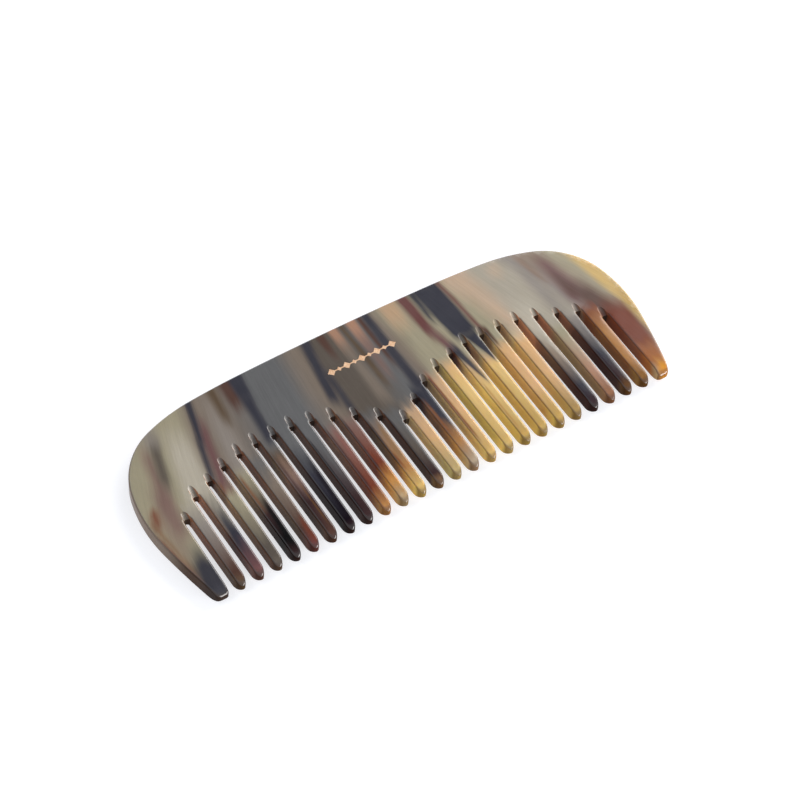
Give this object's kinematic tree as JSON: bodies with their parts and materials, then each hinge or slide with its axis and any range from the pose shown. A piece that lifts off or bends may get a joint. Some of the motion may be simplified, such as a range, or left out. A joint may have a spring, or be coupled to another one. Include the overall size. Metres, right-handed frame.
{
  "type": "hair comb",
  "caption": "Flat polished-horn hair comb with a rounded back, arched row of saw-cut teeth, broad guard teeth at the ends and a small foil ornament.",
  "frame": {"origin": "middle of the comb's footprint, on the plane of its underside", "axes": "+X along the back from the left guard tooth to the right one, teeth pointing to -Y, +Z out of the upper face"},
  "size_m": [0.131, 0.0496, 0.004],
  "materials": {
    "horn": "polished horn, streaked grey-beige, black-brown and amber",
    "foil": "hot-stamped rose-gold foil"
  },
  "bodies": {
    "root": {"back_plate": "horn", "foil_stamp": "foil", "guard_tooth_left": "horn", "guard_tooth_right": "horn", "tooth_02": "horn", "tooth_03": "horn", "tooth_04": "horn", "tooth_05": "horn", "tooth_06": "horn", "tooth_07": "horn", "tooth_08": "horn", "tooth_09": "horn", "tooth_10": "horn", "tooth_11": "horn", "tooth_12": "horn", "tooth_13": "horn", "tooth_14": "horn", "tooth_15": "horn", "tooth_16": "horn", "tooth_17": "horn", "tooth_18": "horn", "tooth_19": "horn", "tooth_20": "horn", "tooth_21": "horn", "tooth_22": "horn", "tooth_23": "horn", "tooth_24": "horn", "tooth_25": "horn"}
  },
  "joints": []
}
